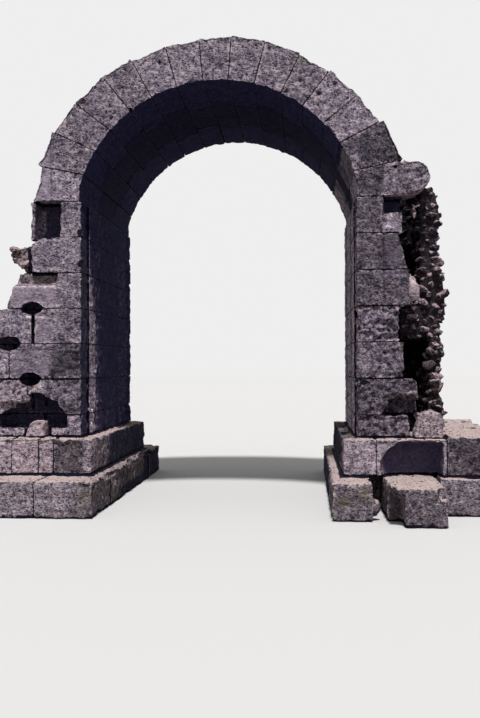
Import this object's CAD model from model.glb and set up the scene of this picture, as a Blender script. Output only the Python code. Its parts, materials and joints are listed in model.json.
import json
import math
import time
from functools import partial, reduce

import bpy
import numpy
from mathutils import Matrix, Vector

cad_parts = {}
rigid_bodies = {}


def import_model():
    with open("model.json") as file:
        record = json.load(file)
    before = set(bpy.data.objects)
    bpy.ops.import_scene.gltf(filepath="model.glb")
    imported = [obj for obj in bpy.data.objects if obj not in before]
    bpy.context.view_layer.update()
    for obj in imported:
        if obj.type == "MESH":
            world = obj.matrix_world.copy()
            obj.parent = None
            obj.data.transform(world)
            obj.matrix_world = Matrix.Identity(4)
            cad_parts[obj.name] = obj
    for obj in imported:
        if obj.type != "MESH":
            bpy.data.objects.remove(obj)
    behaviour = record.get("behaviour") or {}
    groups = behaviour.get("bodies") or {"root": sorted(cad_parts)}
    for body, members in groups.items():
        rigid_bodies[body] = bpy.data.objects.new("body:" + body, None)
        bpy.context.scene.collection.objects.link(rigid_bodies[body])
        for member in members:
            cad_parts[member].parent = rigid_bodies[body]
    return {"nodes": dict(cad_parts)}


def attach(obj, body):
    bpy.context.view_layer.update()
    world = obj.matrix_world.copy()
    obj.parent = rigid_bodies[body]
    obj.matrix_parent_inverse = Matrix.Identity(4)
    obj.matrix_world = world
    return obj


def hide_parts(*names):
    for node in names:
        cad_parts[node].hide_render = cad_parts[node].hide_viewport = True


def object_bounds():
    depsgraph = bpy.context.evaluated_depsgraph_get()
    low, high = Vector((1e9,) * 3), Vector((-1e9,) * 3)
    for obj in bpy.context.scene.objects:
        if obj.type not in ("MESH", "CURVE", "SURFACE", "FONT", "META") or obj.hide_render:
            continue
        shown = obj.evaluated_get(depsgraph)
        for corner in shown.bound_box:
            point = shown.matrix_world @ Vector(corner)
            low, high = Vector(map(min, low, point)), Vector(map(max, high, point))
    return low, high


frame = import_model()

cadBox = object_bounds()
scene = bpy.context.scene
scene.view_settings.view_transform = "Standard"
startTime = time.time()


def report(stage):
    print(f"[{time.time() - startTime:6.1f} s] {stage}")


# Selecting, joining and copying

def onlySelect(pieces):
    bpy.ops.object.select_all(action="DESELECT")
    for piece in pieces:
        piece.select_set(True)
    bpy.context.view_layer.objects.active = pieces[0]


def joinPieces(pieces):
    onlySelect(pieces)
    if len(pieces) > 1:
        bpy.ops.object.join()
    return bpy.context.view_layer.objects.active


def applyModifiers(piece):
    onlySelect([piece])
    for modifier in list(piece.modifiers):
        bpy.ops.object.modifier_apply(modifier=modifier.name)


def copyNode(nodeName, newName):
    piece = frame["nodes"][nodeName].copy()
    piece.data = piece.data.copy()
    piece.data.materials.clear()
    piece.name = newName
    piece.parent = None
    piece.matrix_world = Matrix()
    for key in list(piece.keys()):
        del piece[key]
    scene.collection.objects.link(piece)
    return piece


# Short ways to add nodes to a tree

def addNode(tree, kind, inputs=None, **settings):
    node = tree.nodes.new(kind)
    for key, value in settings.items():
        setattr(node, key, value)
    for key, value in (inputs or {}).items():
        if isinstance(value, bpy.types.NodeSocket):
            tree.links.new(value, node.inputs[key])
        else:
            node.inputs[key].default_value = value
    return node


def calc(tree, operation, *values):
    return addNode(tree, "ShaderNodeMath", dict(enumerate(values)), operation=operation).outputs[0]


def calcVector(tree, operation, *values):
    inputs = dict(enumerate(values))
    if operation == "SCALE":
        inputs["Scale"] = inputs.pop(1)
    node = addNode(tree, "ShaderNodeVectorMath", inputs, operation=operation)
    return node.outputs["Value" if operation in ("DOT_PRODUCT", "LENGTH", "DISTANCE") else "Vector"]


def smoothStep(tree, value, low, high, outLow=0.0, outHigh=1.0):
    inputs = {"Value": value, "From Min": low, "From Max": high, "To Min": outLow, "To Max": outHigh}
    return addNode(tree, "ShaderNodeMapRange", inputs, interpolation_type="SMOOTHSTEP").outputs["Result"]


def noise(tree, vector, scale, detail=2.0, roughness=0.5, distortion=0.0):
    node = addNode(tree, "ShaderNodeTexNoise", {"Vector": vector, "Scale": scale, "Detail": detail,
                                                "Roughness": roughness, "Distortion": distortion})
    return node.outputs["Fac"]


def inUse(sockets, name):
    return next(socket for socket in sockets if socket.enabled and socket.name == name)


def sumOf(tree, *values):
    return reduce(partial(calc, tree, "ADD"), values)


def productOf(tree, *values):
    return reduce(partial(calc, tree, "MULTIPLY"), values)


def makeGroup(name, **inputs):
    tree = bpy.data.node_groups.new(name, "GeometryNodeTree")
    for socketName, kind in dict(Geometry="Geometry", **inputs).items():
        tree.interface.new_socket(name=socketName, in_out="INPUT", socket_type="NodeSocket" + kind)
    tree.interface.new_socket(name="Geometry", in_out="OUTPUT", socket_type="NodeSocketGeometry")
    given = tree.nodes.new("NodeGroupInput").outputs
    return tree, given, tree.nodes.new("NodeGroupOutput").inputs[0]


def storeValue(tree, geometry, name, value):
    return addNode(tree, "GeometryNodeStoreNamedAttribute",
                   {"Geometry": geometry, "Name": name, "Value": value},
                   data_type="FLOAT", domain="POINT").outputs[0]


def readValue(tree, name):
    return addNode(tree, "GeometryNodeInputNamedAttribute", {0: name}, data_type="FLOAT").outputs[0]


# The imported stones, joined, tell the wear which faces lie open to the weather

def makeReference():
    copies = []
    for number, name in enumerate(sorted(frame["nodes"])):
        piece = copyNode(name, "reference_" + name)
        owner = piece.data.attributes.new("owner", "INT", "FACE")
        owner.data.foreach_set("value", [number] * len(piece.data.polygons))
        copies.append(piece)
    return joinPieces(copies)


ringAxis = 4.66  # height of the ring's centre line
halfDepth = 2.072  # from the arch's middle to a face

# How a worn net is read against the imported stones, in metres or in cells of the net
probe = {
    "sharp": 0.4,  # radians between the faces of an arris
    "snap": 0.62,  # cells
    "merge": 0.55,  # cells
    "onArris": 0.0005,
    "ahead": 0.022,  # from a face to the point that is tested
    "reach": 0.04,  # a stone farther off than this hides nothing
    "slack": -0.005,
    "ground": 0.03,
    "down": -0.6,
    "mostly": 0.62,  # share of open points around
    "openFrom": 0.75,
    "thorn": 0.42,  # cells
    "thornRounds": 4,
}

# The shade that is painted on the faces that look into the passage
passageShade = {
    "facing": (-0.35, -0.75),
    "fromAxis": (2.47, 2.43),
    "sunSlope": 2.0,
    "sunLine": (4.7, 5.5),
    "stretch": (1.0, 3.0, 0.25),
    "streaks": (4.0, 3.0, 0.6),
    "streakReach": 0.9,
    "deepIn": (-0.80, -0.50),
    "pierTop": 5.1,
    "paleStreaks": (0.54, 0.68),
    "paleShare": 0.16,
}

# Patches of wear: scale and detail of the noise, and the values between which it sets in
patchOf = {
    "swell": (2.6, 2.0, 0.38, 0.72),
    "lumps": (12.0, 1.5, 0.4, 0.7),
    "pits": (2.3, 2.0, 0.38, 0.6),
    "breaks": (4.2, 2.0, 0.47, 0.68),
    "crown": (6.0, 2.0, 0.4, 0.62),
    "jointChips": (7.0, 2.0, 0.56, 0.7),
}

# How fast wear fades, per metre from an arris, a joint or a seam
fadeOf = {
    "arris": 55.0,
    "wideArris": 16.0,
    "joint": 30.0,
    "jointEnd": 25.0,
    "seam": 60.0,
}


def makeWeatherGroup():
    tree, given, result = makeGroup("weatheredStone", reference="Object", owner="Int", net="Float",
                                    **dict.fromkeys(ringWear, "Float"))
    node, vector = partial(addNode, tree), partial(calcVector, tree)
    keep, kept = partial(storeValue, tree), partial(readValue, tree)
    times, plus = partial(productOf, tree), partial(sumOf, tree)
    minus = partial(calc, tree, "SUBTRACT")
    over = partial(calc, tree, "GREATER_THAN")
    under = partial(calc, tree, "LESS_THAN")
    step = partial(smoothStep, tree)

    def fade(value, name):
        return calc(tree, "EXPONENT", times(value, -fadeOf[name]))

    def patchy(name):
        scale, detail, low, high = patchOf[name]
        return step(noise(tree, position, scale, detail), low, high)

    def scaled(arrow, share):
        return vector("SCALE", arrow, share)

    def split(geometry, chosen, domain="FACE"):
        return node("GeometryNodeSeparateGeometry", {0: geometry, 1: chosen}, domain=domain).outputs

    def nearOn(mesh, where, kind="FACES"):
        return node("GeometryNodeProximity", {0: mesh, 2: where}, target_element=kind).outputs

    def nearest(mesh, value, where):
        return node("GeometryNodeSampleNearestSurface",
                    {"Mesh": mesh, "Value": value, "Sample Position": where},
                    data_type="FLOAT_VECTOR").outputs[0]

    def moveTo(geometry, where, chosen=True):
        return node("GeometryNodeSetPosition",
                    {"Geometry": geometry, "Selection": chosen, "Position": where}).outputs[0]

    def evened(value, kind, rounds):
        blur = node("GeometryNodeBlurAttribute", {"Iterations": rounds}, data_type=kind)
        tree.links.new(value, inUse(blur.inputs, "Value"))
        return inUse(blur.outputs, "Value")

    position = node("GeometryNodeInputPosition").outputs[0]
    normal = node("GeometryNodeInputNormal").outputs[0]
    place = node("ShaderNodeSeparateXYZ", {0: position}).outputs
    facing = node("ShaderNodeSeparateXYZ", {0: normal}).outputs
    stones = node("GeometryNodeObjectInfo", {0: given["reference"]},
                  transform_space="ORIGINAL").outputs["Geometry"]
    owner = node("GeometryNodeInputNamedAttribute", {0: "owner"}, data_type="INT").outputs[0]
    parts = split(stones, calc(tree, "COMPARE", owner, given["owner"], 0.5))
    ownStones, otherStones = parts[0], parts[1]

    # the net cuts corners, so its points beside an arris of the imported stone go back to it
    merged = node("GeometryNodeMergeByDistance", {0: ownStones}).outputs[0]
    angle = node("GeometryNodeInputMeshEdgeAngle").outputs[0]
    arris = nearOn(split(merged, over(angle, probe["sharp"]), "EDGE")[0], position, "EDGES")
    atArris = under(arris["Distance"], times(given["net"], probe["snap"]))
    snapped = moveTo(given["Geometry"], arris["Position"], atArris)
    onArris = under(arris["Distance"], probe["onArris"])
    net = node("GeometryNodeMergeByDistance",
               {"Geometry": snapped, "Selection": onArris,
                "Distance": times(given["net"], probe["merge"])}).outputs[0]

    # a point just outside a face lies inside a neighbour where that face is hidden
    way = vector("NORMALIZE", evened(normal, "FLOAT_VECTOR", 2))
    outside = vector("ADD", position, scaled(normal, probe["ahead"]))

    def heightOver(mesh, outwards):
        near = nearOn(mesh, outside)
        away = vector("SUBTRACT", outside, near["Position"])
        height = vector("DOT_PRODUCT", away, nearest(mesh, outwards, outside))
        return plus(height, over(near["Distance"], probe["reach"]))

    lowest = calc(tree, "MINIMUM", heightOver(net, way), heightOver(otherStones, normal))
    underneath = times(under(place[2], probe["ground"]), under(facing[2], probe["down"]))
    isOpen = times(over(lowest, probe["slack"]), minus(1.0, underneath))
    isOpen = calc(tree, "MAXIMUM", isOpen, over(kept("bare"), 0.5))
    mostOpen = over(evened(kept("open"), "FLOAT", 2), probe["mostly"])

    island = node("GeometryNodeInputMeshIsland").outputs[0]
    luck = node("FunctionNodeRandomValue", {"ID": island, "Seed": given["owner"]},
                data_type="FLOAT").outputs[1]

    # faces that look into the passage lie in its shade, apart from a ragged strip near the front
    above = calc(tree, "MAXIMUM", minus(place[2], ringAxis), 0.0)
    outwards = node("ShaderNodeCombineXYZ", {0: place[0], 1: 0.0, 2: above}).outputs[0]
    fromAxis = vector("LENGTH", outwards)
    looksIn = vector("DOT_PRODUCT", normal, vector("NORMALIZE", outwards))
    within = times(step(looksIn, *passageShade["facing"]), step(fromAxis, *passageShade["fromAxis"]))
    sunLine = plus(place[2], times(plus(place[1], halfDepth), passageShade["sunSlope"]))
    upright = vector("MULTIPLY", position, passageShade["stretch"])
    streak = noise(tree, upright, *passageShade["streaks"])
    isPier = under(place[2], passageShade["pierTop"])
    ragged = plus(place[1], times(streak, passageShade["streakReach"]))
    deepIn = times(step(ragged, *passageShade["deepIn"]), isPier)
    shade = calc(tree, "MAXIMUM", step(sunLine, *passageShade["sunLine"]), deepIn)
    pale = times(step(streak, *passageShade["paleStreaks"]), isPier, shade, passageShade["paleShare"])
    within = times(within, minus(shade, pale), minus(1.0, kept("lit")))
    geometry = keep(net, "inner", within)
    geometry = keep(geometry, "open", isOpen)
    geometry = keep(geometry, "open", calc(tree, "MAXIMUM", kept("open"), mostOpen))
    geometry = keep(geometry, "arrisGap", arris["Distance"])
    geometry = keep(geometry, "stone", luck)
    toArris, luck = kept("arrisGap"), kept("stone")
    calm = minus(1.0, kept("smooth"))
    wild = plus(1.0, kept("rough"))

    # near a joint the stone keeps its shape: away is 0 at the joint and 1 well clear of it
    hiddenFaces = split(geometry, over(kept("open"), probe["openFrom"]))[1]
    geometry = keep(geometry, "toHidden", nearOn(hiddenFaces, position)["Distance"])
    toHidden = kept("toHidden")
    away = step(toHidden, 0.01, 0.13)
    jointChips = times(fade(toHidden, "joint"), fade(toArris, "jointEnd"), patchy("jointChips"))

    # slow swells, fine lumps, beds of softer stone, pits and broken edges, all cut inwards
    flat = vector("MULTIPLY", position, (1.0, 1.0, 5.0))
    beds = step(noise(tree, flat, 3.2, 2.0, 0.55, 0.3), 0.5, 0.68)
    holes = node("ShaderNodeTexVoronoi", {"Vector": position, "Scale": 12.0}).outputs
    holeLuck = node("ShaderNodeSeparateXYZ", {0: holes["Color"]}).outputs[0]
    pits = times(step(holes["Distance"], 0.4, 0.12), step(holeLuck, 0.35, 0.6), patchy("pits"))
    geometry = keep(geometry, "pit", times(pits, calm, wild))
    nearArris, wideArris = fade(toArris, "arris"), fade(toArris, "wideArris")
    geometry = keep(geometry, "arris", times(wideArris, kept("open")))
    crown = times(step(fromAxis, 2.9, 3.12), plus(times(wideArris, 0.7), patchy("crown")))

    # seams between lumps of rubble
    bend = node("ShaderNodeTexNoise", {"Vector": position, "Scale": 5.0, "Detail": 2.0})
    cellSpace = vector("ADD", position, scaled(bend.outputs["Color"], 0.1))
    seams = node("ShaderNodeTexVoronoi", {"Vector": cellSpace, "Scale": 7.0},
                 feature="DISTANCE_TO_EDGE").outputs["Distance"]

    def mostlyAway(share):
        return plus(times(away, share), 1.0 - share)

    depth = plus(
        times(luck, given["setBack"]),
        times(nearArris, given["arris"], mostlyAway(0.8)),
        times(wideArris, patchy("breaks"), given["chips"], mostlyAway(0.9)),
        times(jointChips, given["chips"], 0.5),
        times(crown, given["crown"], mostlyAway(0.7)),
        times(patchy("swell"), given["swell"], wild),
        times(patchy("lumps"), given["lumps"], calm, wild),
        times(beds, given["beds"], wild),
        times(kept("pit"), given["pits"]),
        times(step(seams, 0.25, 0.0), given["rubble"]),
        kept("sink")
    )
    geometry = keep(geometry, "depth", evened(depth, "FLOAT", 1))

    # hidden faces slide inwards with the open face beside them, and the joint between opens a little
    openFaces = split(geometry, over(kept("open"), probe["openFrom"]))[0]
    worn = nearest(openFaces, scaled(way, kept("depth")), position)
    toOpen = nearOn(openFaces, position)["Distance"]

    # beside a joint with another node's stone nothing moves across that joint
    inside = vector("SUBTRACT", position, scaled(nearest(openFaces, normal, position), 0.06))
    jointFace = nearest(otherStones, normal, inside)
    atJoint = step(nearOn(otherStones, inside)["Distance"], 0.08, 0.05)
    across = times(vector("DOT_PRODUCT", worn, jointFace), atJoint)
    worn = vector("SUBTRACT", worn, scaled(jointFace, across))
    slide = scaled(worn, times(step(toOpen, 0.16, 0.02), -1.0))
    looseness = step(noise(tree, position, 3.4, 3.0, 0.6), 0.35, 0.65, 0.3, 1.7)
    seam = fade(plus(toOpen, toHidden), "seam")
    slit = scaled(normal, times(seam, looseness, given["groove"], -1.0))
    geometry = keep(geometry, "open", times(kept("open"), step(toHidden, 0.0, 0.012)))
    moved = vector("ADD", position, vector("ADD", slide, slit))
    moved = vector("MINIMUM", vector("MAXIMUM", moved, cadBox[0]), cadBox[1])
    geometry = moveTo(geometry, moved)

    # a thorn, far from the middle of its neighbours, is pulled back to it
    middle = evened(position, "FLOAT_VECTOR", 1)
    isThorn = over(vector("DISTANCE", position, middle), times(given["net"], probe["thorn"]))
    for _ in range(probe["thornRounds"]):
        geometry = moveTo(geometry, middle, isThorn)
    geometry = keep(geometry, "top", facing[2])
    tree.links.new(geometry, result)
    return tree


def weather(piece, owner, wear):
    modifier = piece.modifiers.new("weather", "NODES")
    modifier.node_group = weatherGroup
    values = dict(wear, reference=reference, owner=owner)
    for item in weatherGroup.interface.items_tree:
        if item.in_out == "INPUT" and item.name in values:
            modifier[item.identifier] = values[item.name]
    applyModifiers(piece)


def countTriangles(piece):
    return sum(len(face.vertices) - 2 for face in piece.data.polygons)


def pointsOf(piece):
    points = numpy.empty(len(piece.data.vertices) * 3)
    piece.data.vertices.foreach_get("co", points)
    return points.reshape(-1, 3)


def thin(piece, triangles):
    share = triangles / countTriangles(piece)
    if share < 1.0:
        modifier = piece.modifiers.new("thin", "DECIMATE")
        modifier.ratio = share
        applyModifiers(piece)
    points = numpy.clip(pointsOf(piece), cadBox[0], cadBox[1])
    piece.data.vertices.foreach_set("co", points.ravel())


# One solid becomes an even net of small faces that can be worn

def cutIntoSolids(piece):
    onlySelect([piece])
    bpy.ops.object.mode_set(mode="EDIT")
    bpy.ops.mesh.select_all(action="SELECT")
    bpy.ops.mesh.remove_doubles(threshold=0.0001)
    bpy.ops.mesh.separate(type="LOOSE")
    bpy.ops.object.mode_set(mode="OBJECT")
    return list(bpy.context.selected_objects)


def netSolid(solid, size):
    modifier = solid.modifiers.new("net", "REMESH")
    modifier.mode = "VOXEL"
    modifier.voxel_size = size
    applyModifiers(solid)


# A cluster of rough balls that is added to a stone or taken out of it

cluster = {
    "shares": (0.7, 0.55, 0.45, 0.4, 0.35),  # size of each ball in the whole
    "spread": 1.2,
    "roughness": 0.14,
}


def makeCluster(place, radii, turn, number):
    picker = numpy.random.RandomState(number)
    balls = []
    for share in cluster["shares"]:
        shift = (1.0 - share) * picker.uniform(-cluster["spread"], cluster["spread"], 3) * radii
        bpy.ops.object.select_all(action="DESELECT")
        bpy.ops.mesh.primitive_ico_sphere_add(
            subdivisions=2, radius=1.0, location=Vector(place) + Vector(shift),
            scale=[share * radius for radius in radii], rotation=(0.0, math.radians(turn), 0.0))
        ball = bpy.context.object
        bpy.ops.object.transform_apply(location=True, rotation=True, scale=True)
        bpy.ops.object.mode_set(mode="EDIT")
        bpy.ops.mesh.select_all(action="SELECT")
        roughness = cluster["roughness"] * share * min(radii)
        bpy.ops.transform.vertex_random(offset=roughness, normal=1.0, seed=number)
        bpy.ops.object.mode_set(mode="OBJECT")
        balls.append(ball)
    return joinPieces(balls)


def boxOf(piece):
    corners = [Vector(corner) for corner in piece.bound_box]
    low = Vector([min(corner[axis] for corner in corners) for axis in range(3)])
    high = Vector([max(corner[axis] for corner in corners) for axis in range(3)])
    return low, high


def boxGap(piece, place):
    low, high = boxOf(piece)
    return sum(max(low[axis] - place[axis], 0.0, place[axis] - high[axis]) for axis in range(3))


def boxesMeet(first, second):
    low, high = boxOf(first)
    otherLow, otherHigh = boxOf(second)
    return all(low[axis] <= otherHigh[axis] and otherLow[axis] <= high[axis] for axis in range(3))


def cutOut(solid, tool):
    modifier = solid.modifiers.new("bite", "BOOLEAN")
    modifier.operation = "DIFFERENCE"
    modifier.solver = "EXACT"
    modifier.use_self = True
    modifier.object = tool
    applyModifiers(solid)


def shapeSolids(solids, nodeName):
    for number, ball in enumerate(damage.get(nodeName, [])):
        x, y, z = ball["place"]
        for face in (1.0, -1.0):
            place = (x, y * face, z)
            tool = makeCluster(place, ball["radii"], ball["turn"], number)
            if ball["kind"] == "lump":
                nearest = min(solids, key=lambda solid: boxGap(solid, place))
                solids.remove(nearest)
                solids.append(joinPieces([nearest, tool]))
                continue
            for solid in solids:
                if boxesMeet(solid, tool):
                    cutOut(solid, tool)
            bpy.data.objects.remove(tool)


# Marks are boxes or balls, alike on both faces, that change how the stone wears or looks

paintLayers = ("sink", "tone", "pink", "moss", "smooth", "rough", "lit", "shade", "crust", "bare")


def paintMarks(piece, nodeName):
    points = pointsOf(piece)
    points[:, 1] = -abs(points[:, 1])
    layers = {name: numpy.zeros(len(points)) for name in paintLayers}
    for mark in marks:
        if not nodeName.startswith(mark["on"]):
            continue
        if "radius" in mark:
            gaps = [mark["radius"] - numpy.linalg.norm(points - mark["centre"], axis=1)]
        else:
            gaps = [numpy.minimum(points[:, axis] - low, high - points[:, axis])
                    for axis, (low, high) in enumerate(mark["span"])]
        share = numpy.ones(len(points))
        for gap in gaps:
            share *= numpy.clip(gap / mark["soft"] + 0.5, 0.0, 1.0)
        for name, value in mark["layers"].items():
            layers[name] += share * value
    for name, values in layers.items():
        piece.data.attributes.new(name, "FLOAT", "POINT").data.foreach_set("value", values)


nodeOrder = sorted(frame["nodes"])
smoothAngle = math.radians(45.0)


def makeStone(nodeName, slotName, wear, net, triangles):
    piece = copyNode(nodeName, "worn_" + nodeName)
    solids = cutIntoSolids(piece)
    shapeSolids(solids, nodeName)
    for solid in solids:
        netSolid(solid, net)
    piece = joinPieces(solids)
    piece.name = "worn_" + nodeName
    paintMarks(piece, nodeName)
    weather(piece, nodeOrder.index(nodeName), dict(wear, net=net, **wearOf.get(nodeName, {})))
    thin(piece, triangles)
    onlySelect([piece])
    bpy.ops.object.shade_smooth_by_angle(angle=smoothAngle)
    if slotName == "rubble_core":
        coverWithRubble(piece)
    piece.data.materials.clear()
    piece.data.materials.append(looks[slotName])
    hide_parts(nodeName)
    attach(piece, "root")
    return piece


# Rubble: a few split stones, scattered over the open sides of a core and sunk into it

rubbleStone = {
    "shapes": 6,
    "splits": 12,
    "splitAt": (0.62, 0.9),  # distance of a split from the middle
    "merge": 0.1,
    "width": 0.85,
    "flatness": 0.72,
    "bevel": 0.12,
    "smoothAngle": math.radians(30.0),
    "spacing": 0.125,
    "density": 400.0,
    "onOpen": 0.8,  # least share of open surface
    "tilt": 0.3,
    "size": 0.070,
    "smallest": 0.75,
    "sink": 0.018,
}


def makeRubbleShapes():
    shapes = bpy.data.collections.new("rubbleShapes")
    picker = numpy.random.RandomState(12)
    for number in range(rubbleStone["shapes"]):
        bpy.ops.object.select_all(action="DESELECT")
        bpy.ops.mesh.primitive_cube_add(size=2.0)
        shape = bpy.context.object
        bpy.ops.object.mode_set(mode="EDIT")
        for _ in range(rubbleStone["splits"]):
            side = Vector(picker.normal(size=3)).normalized()
            bpy.ops.mesh.select_all(action="SELECT")
            bpy.ops.mesh.bisect(plane_co=side * picker.uniform(*rubbleStone["splitAt"]), plane_no=side,
                                use_fill=True, clear_outer=True)
        bpy.ops.mesh.select_all(action="SELECT")
        bpy.ops.mesh.remove_doubles(threshold=rubbleStone["merge"])
        bpy.ops.transform.resize(value=(1.0, rubbleStone["width"], rubbleStone["flatness"]))
        bpy.ops.mesh.bevel(offset=rubbleStone["bevel"], segments=1, clamp_overlap=True)
        bpy.ops.mesh.normals_make_consistent(inside=False)
        bpy.ops.object.mode_set(mode="OBJECT")
        bpy.ops.object.shade_smooth_by_angle(angle=rubbleStone["smoothAngle"])
        for holder in list(shape.users_collection):
            holder.objects.unlink(shape)
        shapes.objects.link(shape)
    return shapes


def makeRubbleGroup():
    tree, given, result = makeGroup("rubbleCover")
    core = given[0]
    node = partial(addNode, tree)
    keep, kept = partial(storeValue, tree), partial(readValue, tree)

    def chance(kind, low, high, seed):
        luck = node("FunctionNodeRandomValue", {"Seed": seed}, data_type=kind)
        inUse(luck.inputs, "Min").default_value = low
        inUse(luck.inputs, "Max").default_value = high
        return inUse(luck.outputs, "Value")

    isRough = calc(tree, "GREATER_THAN", calc(tree, "SUBTRACT", kept("open"), kept("smooth")),
                   rubbleStone["onOpen"])
    scatter = node("GeometryNodeDistributePointsOnFaces",
                   {"Mesh": core, "Distance Min": rubbleStone["spacing"],
                    "Density Max": rubbleStone["density"], "Density Factor": isRough, "Seed": 4},
                   distribute_method="POISSON").outputs
    inwards = calcVector(tree, "SCALE", scatter["Normal"], -rubbleStone["sink"])
    points = node("GeometryNodeSetPosition", {"Geometry": scatter["Points"], "Offset": inwards}).outputs[0]
    points = keep(points, "cell", chance("FLOAT", 0.0, 1.0, 1))
    shapes = node("GeometryNodeCollectionInfo",
                  {"Collection": rubbleShapes, "Separate Children": True,
                   "Reset Children": True}).outputs[0]
    tilt, fullTurn = rubbleStone["tilt"], 6.28
    size = calc(tree, "POWER", chance("FLOAT", 0.0, 1.0, 5), 2.0)
    size = calc(tree, "MULTIPLY", size, rubbleStone["size"])
    size = calc(tree, "ADD", rubbleStone["size"] * rubbleStone["smallest"], size)
    placed = node("GeometryNodeInstanceOnPoints", {
        "Points": points,
        "Instance": shapes,
        "Pick Instance": True,
        "Instance Index": chance("INT", 0, rubbleStone["shapes"] - 1, 2),
        "Rotation": chance("FLOAT_VECTOR", (-tilt, -tilt, 0.0), (tilt, tilt, fullTurn), 3),
        "Scale": size,
    }).outputs[0]
    rocks = node("GeometryNodeRealizeInstances", {0: placed}).outputs[0]
    normal = node("GeometryNodeInputNormal").outputs[0]
    upwards = node("ShaderNodeSeparateXYZ", {0: normal}).outputs[2]
    for name, value in (("open", 1.0), ("stone", 0.5), ("top", upwards), ("rock", 1.0)):
        rocks = keep(rocks, name, value)
    joined = node("GeometryNodeJoinGeometry")
    for geometry in (rocks, core):
        tree.links.new(geometry, joined.inputs[0])
    tree.links.new(joined.outputs[0], result)
    return tree


def coverWithRubble(piece):
    modifier = piece.modifiers.new("rubble", "NODES")
    modifier.node_group = rubbleGroup
    applyModifiers(piece)


# Stone as it looks: a pale body, a dark crust, washed tops and dark joints

# Scale, detail, roughness and distortion of the noises
stoneNoise = {
    "patches": (4.5, 3.0, 0.55),
    "blotches": (10.0, 2.0, 0.5),
    "mottle": (21.0, 4.0, 0.6),
    "grain": (75.0, 3.0, 0.6),
    "streaks": (11.0, 4.0, 0.6, 0.3),
}

# The values between which a share of the look sets in
setsIn = {
    "body": (-0.2, 0.02),
    "light": (0.04, 0.2),
    "hole": (0.4, 0.24),
    "holeRim": (0.72, 0.5),
    "holeLuck": (0.45, 0.6),
    "secondRock": (0.3, 0.45),
    "thirdRock": (0.72, 0.8),
    "rockBody": (-0.12, 0.0),
    "rockLight": (0.05, 0.16),
    "rockUnderside": (0.15, -0.45),
    "pink": (-0.12, 0.04),
    "edge": (0.3, 0.85),
    "edgeTone": (-0.04, 0.06),
    "moss": (0.6, 0.72),
    "pit": (0.25, 0.8),
    "joint": (0.4, 0.1),
}


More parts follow.
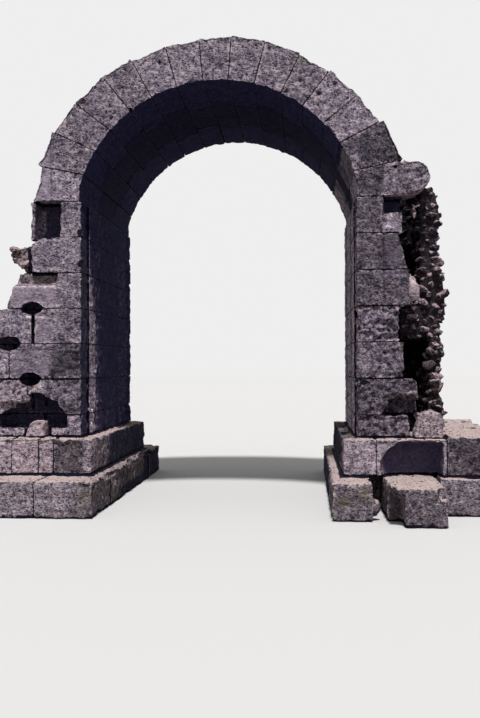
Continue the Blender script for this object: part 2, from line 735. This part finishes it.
def makeStoneMaterial(name, look):
    material = bpy.data.materials.new(name)
    material.use_nodes = True
    tree = material.node_tree
    shader = tree.nodes["Principled BSDF"]
    times, plus = partial(productOf, tree), partial(sumOf, tree)
    minus, node = partial(calc, tree, "SUBTRACT"), partial(addNode, tree)

    def read(attribute):
        return node("ShaderNodeAttribute", attribute_name=attribute).outputs["Fac"]

    def shareOf(name, value):
        return smoothStep(tree, value, *setsIn[name])

    def blend(factor, first, second, kind="MIX"):
        inputs = {0: factor, 6: first, 7: second}
        for key in (6, 7):
            if isinstance(inputs[key], tuple):
                inputs[key] = (*inputs[key], 1.0)
        return node("ShaderNodeMix", inputs, data_type="RGBA", blend_type=kind).outputs[2]

    place = node("ShaderNodeTexCoord").outputs["Object"]
    bedPlace = node("ShaderNodeMapping",
                    {"Vector": place, "Scale": (1.0, 1.0, look["bedStretch"])}).outputs[0]
    layers = {key: noise(tree, bedPlace if key == "streaks" else place, *values)
              for key, values in stoneNoise.items()}
    holes = node("ShaderNodeTexVoronoi", {"Vector": bedPlace, "Scale": 18.0}).outputs
    holeLuck = shareOf("holeLuck", node("ShaderNodeSeparateXYZ", {0: holes["Color"]}).outputs[0])
    holeShade = times(shareOf("hole", holes["Distance"]), holeLuck)
    holeRim = times(shareOf("holeRim", holes["Distance"]), holeLuck)
    calm = minus(1.0, times(read("smooth"), 0.7))

    # five noises of different size make the mottled tone
    tone = minus(layers["mottle"], 0.5)
    shares = (("streaks", 0.5), ("grain", 0.7), ("blotches", 0.6), ("patches", look["patchShare"]))
    for key, share in shares:
        tone = plus(tone, times(minus(layers[key], 0.5), share))
    tone = minus(times(tone, calm), times(read("crust"), 0.12))
    colour = blend(shareOf("body", tone), look["dark"], look["body"])
    colour = blend(shareOf("light", tone), colour, look["light"])
    colour = blend(times(holeRim, calm, 0.35), colour, look["light"])
    if look["rocks"]:
        cell = read("cell")
        rock = blend(shareOf("secondRock", cell), look["rocks"][0], look["rocks"][1])
        rock = blend(shareOf("thirdRock", cell), rock, look["rocks"][2])
        rock = blend(shareOf("rockBody", tone), look["dark"], rock)
        rock = blend(times(shareOf("rockLight", tone), 0.6), rock, look["top"])
        rock = blend(times(shareOf("rockUnderside", read("top")), 0.75), rock, look["dark"])
        colour = blend(read("rock"), colour, rock)

    # each stone has a tone of its own, and the marks change it further
    shift = look["stoneShift"]
    luck = smoothStep(tree, read("stone"), 0.0, 1.0, 1.0 - shift, 1.0 + shift)
    luck = times(luck, plus(read("tone"), 1.0))
    grey = node("ShaderNodeCombineXYZ", {0: luck, 1: luck, 2: luck}).outputs[0]
    colour = blend(1.0, colour, grey, "MULTIPLY")
    colour = blend(times(read("pink"), shareOf("pink", tone)), colour, look["pink"])

    # washed tops, pale arrises, lichen, pits and shade
    top = plus(read("top"), times(tone, 1.5))
    top = smoothStep(tree, top, look["topFrom"], look["topFrom"] + 0.45)
    washed = calc(tree, "MINIMUM", plus(read("tone"), 1.0), 1.0)
    if look["rocks"]:
        washed = times(washed, plus(times(read("rock"), 0.75), 0.25))
    colour = blend(times(top, washed, look["topShare"]), colour, look["top"])
    edge = times(shareOf("edge", read("arris")), shareOf("edgeTone", tone))
    colour = blend(times(edge, look["edgeShare"]), colour, look["light"])
    mossPatch = shareOf("moss", plus(layers["patches"], times(layers["streaks"], 0.3)))
    colour = blend(times(read("moss"), mossPatch, 0.6), colour, look["moss"])
    deepShare = calc(tree, "MAXIMUM", times(holeShade, calm), shareOf("pit", read("pit")))
    colour = blend(times(deepShare, 0.9), colour, look["deep"])
    colour = blend(read("shade"), colour, look["hollow"])
    colour = blend(times(read("inner"), look["innerShare"]), colour, look["inner"])
    colour = blend(shareOf("joint", read("open")), colour, look["joint"])
    tree.links.new(colour, shader.inputs["Base Color"])
    shader.inputs["Roughness"].default_value = look["roughness"]
    shader.inputs["Specular IOR Level"].default_value = look["gloss"]

    shares = (("mottle", 0.6), ("grain", 0.22), ("streaks", 0.35))
    relief = plus(*[times(layers[key], share) for key, share in shares])
    relief = minus(times(relief, calm), times(deepShare, 0.15))
    bump = node("ShaderNodeBump", {"Height": relief, "Strength": look["bump"],
                                         "Distance": look["bumpDepth"]})
    tree.links.new(bump.outputs["Normal"], shader.inputs["Normal"])
    return material


view = {
    "place": (1.44, -16.29, 2.37),
    "yaw": -4.29,
    "pitch": 0.37,
    "roll": -0.20,
    "lens": 43.62,
    "sensor": 36.0,
    "farthest": 500.0,
}
light = {
    "elevation": 62.0,
    "azimuth": 3.0,
    "distance": 20.0,
    "strength": 2.8,
    "softness": 5.0,
    "world": 0.25,
    "backdrop": 0.86,
}
floorLook = {
    "size": 300.0,
    "seen": (0.8, 0.79, 0.78),
    "bounce": (0.2, 0.19, 0.18),
    "roughness": 0.9,
}


def makeCamera():
    yaw, pitch, roll = (math.radians(view[key]) for key in ("yaw", "pitch", "roll"))
    level = Vector((math.sin(yaw), math.cos(yaw), 0.0))
    right = Vector((math.cos(yaw), -math.sin(yaw), 0.0))
    upright = Vector((0.0, 0.0, 1.0))
    ahead = level * math.cos(pitch) + upright * math.sin(pitch)
    tilted = upright * math.cos(pitch) - level * math.sin(pitch)
    side = right * math.cos(roll) + tilted * math.sin(roll)
    up = tilted * math.cos(roll) - right * math.sin(roll)
    bpy.ops.object.camera_add(location=view["place"])
    camera = bpy.context.object
    camera.name = "camera"
    camera.data.lens = view["lens"]
    camera.data.sensor_width = view["sensor"]
    camera.data.clip_end = view["farthest"]
    camera.rotation_euler = Matrix((side, up, -ahead)).transposed().to_euler()
    scene.camera = camera


def makeLight():
    height, side = math.radians(light["elevation"]), math.radians(light["azimuth"])
    flat = math.cos(height)
    toSun = Vector((math.sin(side) * flat, -math.cos(side) * flat, math.sin(height)))
    bpy.ops.object.light_add(type="SUN", location=toSun * light["distance"])
    sun = bpy.context.object
    sun.name = "keyLight"
    sun.data.energy = light["strength"]
    sun.data.angle = math.radians(light["softness"])
    sun.rotation_euler = toSun.to_track_quat("Z", "Y").to_euler()

    world = bpy.data.worlds.new("studio")
    world.use_nodes = True
    scene.world = world
    tree = world.node_tree
    background = tree.nodes["Background"]
    background.inputs["Color"].default_value = (1.0, 1.0, 1.0, 1.0)
    rays = addNode(tree, "ShaderNodeLightPath").outputs
    seen = calc(tree, "MAXIMUM", rays["Is Glossy Ray"], rays["Is Transmission Ray"])
    seen = calc(tree, "MAXIMUM", rays["Is Camera Ray"], seen)
    strength = addNode(tree, "ShaderNodeMapRange", {"Value": seen, "To Min": light["world"],
                                                    "To Max": light["backdrop"]}).outputs[0]
    tree.links.new(strength, background.inputs["Strength"])


def makeFloor():
    bpy.ops.mesh.primitive_plane_add(size=floorLook["size"], location=(0.0, 0.0, 0.0))
    floor = bpy.context.object
    floor.name = "floor"
    material = bpy.data.materials.new("paleFloor")
    material.use_nodes = True
    tree = material.node_tree
    shader = tree.nodes["Principled BSDF"]
    rays = addNode(tree, "ShaderNodeLightPath").outputs
    mix = addNode(tree, "ShaderNodeMix", {0: rays["Is Camera Ray"], 6: (*floorLook["bounce"], 1.0),
                                          7: (*floorLook["seen"], 1.0)}, data_type="RGBA")
    tree.links.new(mix.outputs[2], shader.inputs["Base Color"])
    shader.inputs["Roughness"].default_value = floorLook["roughness"]
    floor.data.materials.append(material)


makeCamera()
makeLight()
makeFloor()
report("camera, light and floor")


# What was broken off or left standing on the stones of each node, on both faces alike

def bite(place, radii, turn=0.0):
    return {"kind": "bite", "place": place, "radii": radii, "turn": turn}


def lump(place, radii, turn=0.0):
    return {"kind": "lump", "place": place, "radii": radii, "turn": turn}


def markBox(nodeStart, across, inwards, height, soft=0.02, **layers):
    return {"on": nodeStart, "span": (across, inwards, height), "soft": soft, "layers": layers}


def faceMark(nodeStart, across, height, **layers):
    return markBox(nodeStart, across, (-3, -1.9), height, **layers)


def markBall(centre, radius, soft=0.02, **layers):
    return {"on": "", "centre": centre, "radius": radius, "soft": soft, "layers": layers}


damage = {
    "voussoir_04": [bite((-2.27, -2.09, 6.73), (0.15, 0.06, 0.06), -40.0)],
    "voussoir_05": [bite((-1.45, -2.07, 6.58), (0.1, 0.08, 0.04), -45.0)],
    "voussoir_06": [bite((-0.88, -2.07, 6.93), (0.06, 0.1, 0.035), -25.0)],
    "voussoir_07": [bite((-0.72, -2.07, 6.99), (0.06, 0.1, 0.04), 20.0)],
    "voussoir_09": [bite((0.94, -2.1, 6.84), (0.13, 0.14, 0.06), 25.0)],
    "voussoir_13": [bite((2.46, -2.07, 6.1), (0.36, 0.16, 0.035), -22.0)],
    "voussoir_15": [
        bite((2.9, -2.05, 5.575), (0.17, 0.14, 0.03), -12.0),
        bite((3.32, -2.12, 5.42), (0.16, 0.08, 0.05), -35.0),
    ],
    "left_course_7": [
        bite((-2.28, -2.07, 4.56), (0.09, 0.12, 0.09)),
        bite((-2.31, -2.1, 5.06), (0.07, 0.08, 0.05)),
        bite((-2.66, -2.07, 5.02), (0.06, 0.16, 0.11)),
    ],
    "left_course_6": [
        bite((-2.27, -2.06, 4.04), (0.1, 0.15, 0.085)),
        bite((-2.22, -2.05, 4.38), (0.07, 0.12, 0.09)),
    ],
    "left_course_5": [
        bite((-2.63, -2.09, 3.77), (0.025, 0.06, 0.025)),
        bite((-2.23, -2.08, 3.62), (0.05, 0.08, 0.12)),
    ],
    "left_course_2": [
        lump((-3.5, -2.08, 1.76), (0.28, 0.12, 0.14)),
        lump((-3.3, -2.05, 1.86), (0.3, 0.12, 0.16)),
        lump((-2.85, -2.04, 1.93), (0.1, 0.09, 0.17)),
        bite((-2.22, -2.07, 1.72), (0.06, 0.14, 0.12)),
    ],
    "left_course_1": [bite((-2.24, -2.07, 1.5), (0.08, 0.12, 0.1))],
    "right_course_6": [bite((3.08, -2.08, 3.98), (0.07, 0.16, 0.1))],
    "right_course_5": [bite((3.27, -1.95, 3.62), (0.25, 0.55, 0.62))],
    "right_course_4": [
        bite((2.72, -2.08, 3.24), (0.04, 0.13, 0.13), -40.0),
        bite((2.86, -2.08, 3.03), (0.05, 0.15, 0.16), -33.0),
        bite((2.97, -2.08, 2.84), (0.08, 0.16, 0.1)),
        bite((2.55, -2.1, 2.92), (0.12, 0.07, 0.03), 20.0),
    ],
    "right_course_3": [bite((3.03, -2.07, 2.18), (0.14, 0.16, 0.1), -20.0)],
    "right_course_2": [
        bite((2.36, -2.1, 2.03), (0.14, 0.08, 0.09)),
        bite((2.52, -2.09, 1.75), (0.2, 0.07, 0.05), -40.0),
        bite((2.8, -2.08, 2.02), (0.22, 0.07, 0.035), -30.0),
        bite((3.1, -2.04, 1.68), (0.2, 0.16, 0.06), -8.0),
    ],
    "left_plinth": [lump((-3.7, -2.36, 0.86), (0.12, 0.06, 0.1))],
    "left_footing": [
        lump((-1.88, -0.5, 0.47), (0.11, 0.75, 0.18)),
        bite((-1.8, -1.75, 0.6), (0.1, 0.45, 0.12)),
        bite((-2.6, -3.2, 0.6), (0.4, 0.09, 0.06)),
    ],
    "right_footing": [
        bite((2.3, -3.2, 0.5), (0.16, 0.16, 0.12), 30.0),
        bite((3.45, -3.68, 0.6), (0.12, 0.3, 0.2)),
        lump((2.52, -2.95, 0.2), (0.09, 0.12, 0.21)),
    ],
    "right_core": [
        lump((3.66, -1.58, 2.58), (0.18, 0.22, 0.21)),
        lump((3.63, -1.58, 2.06), (0.14, 0.2, 0.12)),
        lump((3.64, -1.56, 3.88), (0.15, 0.2, 0.22)),
        lump((3.7, -1.3, 3.36), (0.15, 0.15, 0.2)),
        lump((3.62, -1.56, 1.62), (0.15, 0.2, 0.22)),
        lump((3.42, -1.5, 5.22), (0.15, 0.25, 0.15)),
    ],
    "wedge_stone": [lump((3.21, -1.86, 3.54), (0.15, 0.13, 0.28))],
    "left_core": [
        lump((-3.42, -1.62, 4.28), (0.12, 0.12, 0.07)),
        lump((-3.24, -1.62, 4.2), (0.14, 0.14, 0.15)),
        lump((-3.16, -1.62, 4.04), (0.1, 0.12, 0.1)),
    ],
    "cave_stone": [bite((-2.9, -2.2, 1.46), (0.08, 0.1, 0.06), 30.0)],
    "plinth_stone": [
        bite((3.48, -2.24, 1.43), (0.05, 0.05, 0.04), 40.0),
        bite((3.56, -2.24, 1.31), (0.03, 0.05, 0.06)),
    ],
}

smallHoles = ((1.14, -2.07, 6.84), (1.37, -2.07, 7.01), (1.66, -2.07, 6.61), (-0.95, -2.07, 7.38))
widerHoles = ((1.68, -2.07, 6.79), (1.94, -2.07, 6.95))

marks = [
    # the outer strip of the ring and the piers, cut back and better dressed
    markBox("", (-3.5, -2.784), (-2.2, -2.02), (5.1, 6.0), sink=0.02, smooth=0.8),
    markBox("", (2.7, 3.3), (-2.2, -2.02), (3.8, 4.51), sink=0.025, smooth=0.5),
    markBox("", (2.727, 3.6), (-2.2, -1.9), (5.1, 5.75), tone=-0.25),
    markBox("", (2.712, 2.732), (-2.2, -2.0), (3.34, 4.5), sink=0.02, tone=-0.7, soft=0.01),
    # well dressed faces on the left pier
    markBox("", (-3.5, -2.68), (-2.2, -2.0), (3.36, 3.72), smooth=0.8),
    markBox("", (-3.03, -2.8), (-2.2, -2.0), (2.74, 3.2), smooth=0.7),
    markBox("", (-3.47, -2.8), (-2.2, -2.0), (2.22, 2.64), smooth=0.6),
    # worn stones low on the left pier
    markBox("", (-2.7, -2.2), (-2.2, -1.4), (1.18, 2.14), rough=0.8, soft=0.1),
    markBox("", (-3.9, -2.95), (-2.3, -2.0), (1.65, 2.1), rough=1.0, tone=0.15, pink=0.5, soft=0.1),
    # worn stones of the right pier
    markBox("", (2.2, 3.1), (-2.2, -1.6), (2.74, 3.33), rough=1.5),
    markBox("", (2.2, 3.1), (-2.2, -1.6), (2.14, 2.73), rough=0.7),
    markBox("", (2.2, 3.4), (-2.2, -1.6), (1.18, 2.13), rough=1.0),
    # the dark block of the left plinth
    markBox("", (-2.64, -2.18), (-2.5, -2.3), (0.63, 1.12), sink=0.035),
    # small round holes
    *[markBall(centre, 0.03, sink=0.04, tone=-0.8) for centre in smallHoles],
    *[markBall(centre, 0.035, sink=0.04, tone=-0.8) for centre in widerHoles],
    # stone that stays dark in the hollows
    markBox("left_course", (-3.25, -2.52), (-1.99, -1.5), (1.16, 2.25), shade=0.7, tone=-0.75, soft=0.04),
    markBox("left_course", (-3.75, -3.25), (-1.99, -1.5), (1.16, 1.72), shade=0.7, tone=-0.75, soft=0.04),
    markBox("left_c", (-3.05, -2.63), (-2.03, -1.6), (4.5, 5.12), shade=0.85, soft=0.04),
    markBox("left_c", (-3.03, -2.97), (-1.9, -1.6), (4.6, 5.0), shade=-0.7, tone=0.5, soft=0.04),
    markBox("left_course", (-3.7, -2.5), (-2.03, -1.6), (1.9, 3.5), shade=0.8, soft=0.04),
    markBox("right_core", (2.9, 3.34), (-1.9, 0.0), (3.9, 5.5), tone=-0.93, soft=0.04),
    markBox("right_core", (2.9, 3.32), (-1.9, -1.2), (3.35, 3.98), sink=0.08, smooth=1.0, tone=-0.9),
    markBox("right_core", (2.9, 3.5), (-1.9, 0.0), (2.3, 2.86), tone=-0.93, soft=0.04),
    markBox("right_core", (2.9, 3.42), (-1.9, 0.0), (1.18, 2.26), tone=-0.93, soft=0.04),
    markBox("", (2.72, 3.06), (-1.93, -1.5), (4.84, 5.12), shade=0.9, soft=0.03),
    markBox("", (2.76, 2.88), (-1.98, -1.9), (4.62, 4.86), tone=0.5, smooth=0.5),
    markBox("", (2.72, 3.06), (-1.98, -1.9), (4.5, 4.66), tone=0.4),
    markBox("right_plinth", (2.68, 3.62), (-2.355, -1.9), (0.6, 1.14), shade=0.85, smooth=0.6, soft=0.05),
    # the right jamb catches light from the ground, the left one only at its rough front edge
    markBox("", (1.9, 2.255), (-2.3, 0.0), (1.2, 5.15), lit=1.0, tone=1.3),
    markBox("", (1.9, 2.32), (-0.98, -0.58), (1.2, 5.3), tone=-1.3, soft=0.08),
    markBox("right_plinth", (1.9, 2.26), (-1.9, 0.0), (0.7, 1.3), tone=-0.8, soft=0.08),
    markBox("", (1.9, 2.32), (-2.3, -0.4), (5.15, 5.9), lit=1.0, tone=0.6),
    markBox("left_course", (-2.5, -2.2), (-2.03, -1.62), (1.2, 5.1), shade=0.85),
    markBox("left_course", (-2.3, -2.2), (-1.56, -0.75), (1.2, 4.4), tone=2.2, crust=0.5, rough=1.0),
    # the recess over the left course 5, and pale lips over the joints
    markBox("left_c", (-3.9, -2.7), (-2.2, -0.8), (3.75, 3.91), tone=-0.4, pink=0.3),
    markBox("left_course_5", (-3.45, -2.7), (-2.2, -1.98), (3.67, 3.74), tone=0.6, crust=-1.0, soft=0.03),
    markBox("left_course_4", (-3.3, -2.93), (-2.2, -2.0), (3.16, 3.21), tone=0.5, crust=-1.0, soft=0.03),
    markBox("left_course_3", (-3.6, -3.4), (-2.2, -2.0), (2.51, 2.56), tone=0.5, crust=-1.0, soft=0.03),
    markBox("left_course_2", (-3.25, -2.95), (-2.2, -2.0), (1.97, 2.03), tone=0.5, crust=-1.0, soft=0.03),
    # darker and paler stones
    *[faceMark(name, (-5, 0), (4, 8), tone=-0.12) for name in ("voussoir_03", "voussoir_04")],
    markBox("voussoir_14", (0, 5), (-3, 0), (5, 7), tone=-0.6, crust=0.6),
    faceMark("voussoir_15", (2.2, 2.727), (5, 6), tone=-0.6, crust=0.4),
    faceMark("right_course_7", (2.2, 2.71), (4, 6), tone=-0.35, crust=0.4),
    faceMark("right_course_6", (2.2, 3.3), (3, 5), tone=-0.45, crust=0.3),
    faceMark("right_course_5", (2.2, 3.3), (3, 4), tone=-0.42, crust=0.4),
    markBox("right_course_4", (2.2, 3.3), (-3, -1.6), (2, 4), tone=0.1, crust=0.7),
    markBox("right_course_3", (2.2, 3.3), (-3, -1.6), (2, 4), tone=-0.1, crust=0.5),
    markBox("right_course_2", (2.2, 3.5), (-3, -1.6), (1, 3), tone=-0.2, crust=1.0),
    markBox("right_course_1", (2.2, 3.5), (-3, -1.6), (1, 3), tone=-0.15, crust=0.8),
    faceMark("left_course_4", (-2.68, -2.2), (2.7, 3.4), tone=-0.15, crust=0.5),
    faceMark("left_course_3", (-2.8, -2.2), (2.1, 2.8), tone=-0.35, crust=1.0, soft=0.05),
    faceMark("left_course_3", (-3.5, -2.8), (2.1, 2.8), tone=-0.25),
    faceMark("left_course_3", (-2.7, -2.225), (2.28, 2.61), tone=-0.3, soft=0.04),
    faceMark("left_course_2", (-2.9, -2.2), (1.4, 2.2), tone=-0.3, crust=0.7, soft=0.05),
    markBox("left_core", (-3.7, -3.12), (-2.2, -1.4), (3.9, 4.5), tone=2.4, pink=0.9),
    faceMark("left_course_5", (-3.5, -2.68), (3.36, 3.72), tone=0.12, pink=0.1),
    faceMark("left_course_4", (-3.03, -2.7), (2.7, 3.3), tone=-0.12),
    markBox("left_footing", (-2.1, -1.7), (-1.3, 0.0), (0.2, 0.8), lit=0.9, tone=-0.2, soft=0.06),
    markBox("left_plinth", (-2.66, -2.18), (-3, -2.2), (0.55, 1.14), tone=-0.6),
    markBox("left_plinth", (-5, -2.66), (-3, -2.2), (0.55, 1.2), tone=0.32, pink=0.35),
    markBox("right_plinth", (2.0, 2.7), (-3, -2.2), (0.55, 1.2), tone=0.12),
    markBox("right_plinth", (3.67, 5), (-3, -2.2), (0.55, 1.2), tone=-0.6, crust=0.4),
    markBox("right_footing", (1.8, 2.6), (-3.4, -2.0), (0.5, 0.8), tone=0.4),
    markBox("right_footing", (2.55, 2.83), (-3.7, -2.8), (0.0, 0.5), tone=-0.5, smooth=0.5),
    markBox("right_footing", (2.83, 3.5), (-3.7, -3.5), (0.0, 0.52), tone=-0.25, crust=0.4),
    markBox("cave_stone", (-4, 0), (-3, 0), (0, 3), tone=0.7, pink=0.6, smooth=0.6),
    markBox("plinth_stone", (0, 4), (-3, 0), (0, 3), tone=0.7, pink=0.5),
    markBox("wedge_stone", (0, 4), (-3, -1.6), (3.4, 5), bare=1.0),
    markBox("right_course_5", (3.04, 4), (-3, -1.6), (3.37, 3.88), bare=1.0),
    markBox("wedge_stone", (0, 4), (-3, 0), (0, 5), tone=0.5, pink=0.5, smooth=0.6),
    # lichen
    markBall((1.39, -2.0, 7.42), 0.16, moss=1.0, soft=0.15),
    markBall((-0.6, -2.0, 7.62), 0.14, moss=0.8, soft=0.15),
    markBox("", (1.8, 2.45), (-3.3, -2.9), (0.1, 0.52), moss=1.0, tone=-0.25, soft=0.15),
    markBox("", (-2.1, -1.8), (-3.3, 0.0), (0.0, 0.6), moss=0.7, tone=-0.4, rough=1.0, soft=0.15),
]

ringLook = {
    "bedStretch": 1.3,
    "patchShare": 0.3,
    "dark": (0.06, 0.05, 0.08),
    "body": (0.39, 0.315, 0.415),
    "light": (0.82, 0.69, 0.76),
    "top": (0.6, 0.48, 0.5),
    "pink": (0.6, 0.45, 0.43),
    "moss": (0.17, 0.155, 0.08),
    "hollow": (0.05, 0.047, 0.13),
    "deep": (0.03, 0.025, 0.05),
    "joint": (0.009, 0.008, 0.026),
    "inner": (0.02, 0.02, 0.12),
    "innerShare": 0.93,
    "stoneShift": 0.15,
    "topShare": 0.7,
    "topFrom": 0.4,
    "edgeShare": 0.65,
    "rocks": None,
    "bump": 1.0,
    "bumpDepth": 0.12,
    "roughness": 0.92,
    "gloss": 0.2,
}
barrelLook = dict(ringLook, inner=(0.011, 0.011, 0.075), body=(0.22, 0.18, 0.24), light=(0.38, 0.32, 0.37))
pierLook = dict(ringLook, bedStretch=1.8)
rubbleLook = dict(
    ringLook, topShare=0.85, topFrom=0.2,
    dark=(0.024, 0.019, 0.03), body=(0.04, 0.032, 0.042), light=(0.09, 0.07, 0.08), top=(0.88, 0.64, 0.67),
    rocks=((0.12, 0.088, 0.145), (0.27, 0.195, 0.26), (0.6, 0.45, 0.5)))
baseLook = dict(
    pierLook, topShare=0.95,
    body=(0.42, 0.335, 0.4), top=(0.9, 0.7, 0.66), inner=(0.014, 0.013, 0.055))

looks = {
    "ring_stone": makeStoneMaterial("ringStone", ringLook),
    "barrel_stone": makeStoneMaterial("barrelStone", barrelLook),
    "pier_stone": makeStoneMaterial("pierStone", pierLook),
    "rubble_core": makeStoneMaterial("rubbleCore", rubbleLook),
    "base_stone": makeStoneMaterial("baseStone", baseLook),
}

ringWear = {
    "setBack": 0.01,
    "arris": 0.01,
    "chips": 0.038,
    "crown": 0.018,
    "swell": 0.012,
    "lumps": 0.02,
    "pits": 0.03,
    "beds": 0.0,
    "rubble": 0.0,
    "groove": 0.005,
}
pierWear = dict(ringWear, arris=0.012, chips=0.05, groove=0.003, crown=0.0, lumps=0.024, beds=0.014)
coreWear = dict(ringWear, setBack=0.0, chips=0.05, crown=0.0, swell=0.03, lumps=0.03, rubble=0.04)
baseWear = dict(pierWear, arris=0.035, chips=0.075, swell=0.02, groove=0.005)
wearOf = {
    "voussoir_15": {"setBack": 0.0},
    "right_course_4": {"pits": 0.05, "lumps": 0.03},
    "right_course_3": {"pits": 0.05, "lumps": 0.03},
    "right_course_2": {"pits": 0.06, "lumps": 0.035},
    "right_course_1": {"pits": 0.05, "lumps": 0.03},
    "right_plinth": {"chips": 0.05},
    "left_core": {"chips": 0.03, "lumps": 0.02, "rubble": 0.02},
}

reference = makeReference()
weatherGroup = makeWeatherGroup()
rubbleShapes = makeRubbleShapes()
rubbleGroup = makeRubbleGroup()
report("reference, wear and rubble")

# Width of the net's faces and most triangles of a piece
detail = {
    "ring": (0.0195, 11000),
    "barrel": (0.030, 22000),
    "back ring": (0.028, 32000),
    "left pier": (0.0225, 23000),
    "right pier": (0.0225, 18000),
    "core": (0.038, 14000),
    "plinth": (0.026, 36000),
    "footing": (0.030, 38000),
    "loose stone": (0.014, 5000),
}
ringStones = 15
courses = 7

for number in range(1, ringStones + 1):
    makeStone(f"voussoir_{number:02d}", "ring_stone", ringWear, *detail["ring"])
report("front ring")
for name in ("middle_ring_odd_stones", "middle_ring_even_stones"):
    makeStone(name, "barrel_stone", ringWear, *detail["barrel"])
for name in ("back_ring_odd_stones", "back_ring_even_stones"):
    makeStone(name, "ring_stone", ringWear, *detail["back ring"])
report("barrel and back ring")
for side in ("left", "right"):
    for number in range(1, courses + 1):
        makeStone(f"{side}_course_{number}", "pier_stone", pierWear, *detail[side + " pier"])
    report(side + " pier")
for side in ("left", "right"):
    makeStone(side + "_core", "rubble_core", coreWear, *detail["core"])
    makeStone(side + "_plinth", "base_stone", baseWear, *detail["plinth"])
    makeStone(side + "_footing", "base_stone", baseWear, *detail["footing"])
report("cores and base")
for name in ("cave_stone", "plinth_stone", "wedge_stone"):
    makeStone(name, "base_stone", baseWear, *detail["loose stone"])
report("loose stones")

bpy.data.objects.remove(reference)
for shape in list(rubbleShapes.objects):
    bpy.data.objects.remove(shape)
bpy.data.collections.remove(rubbleShapes)
meshes = [piece for piece in scene.objects if piece.type == "MESH" and not piece.hide_render]
report(f"{sum(countTriangles(piece) for piece in meshes)} triangles")
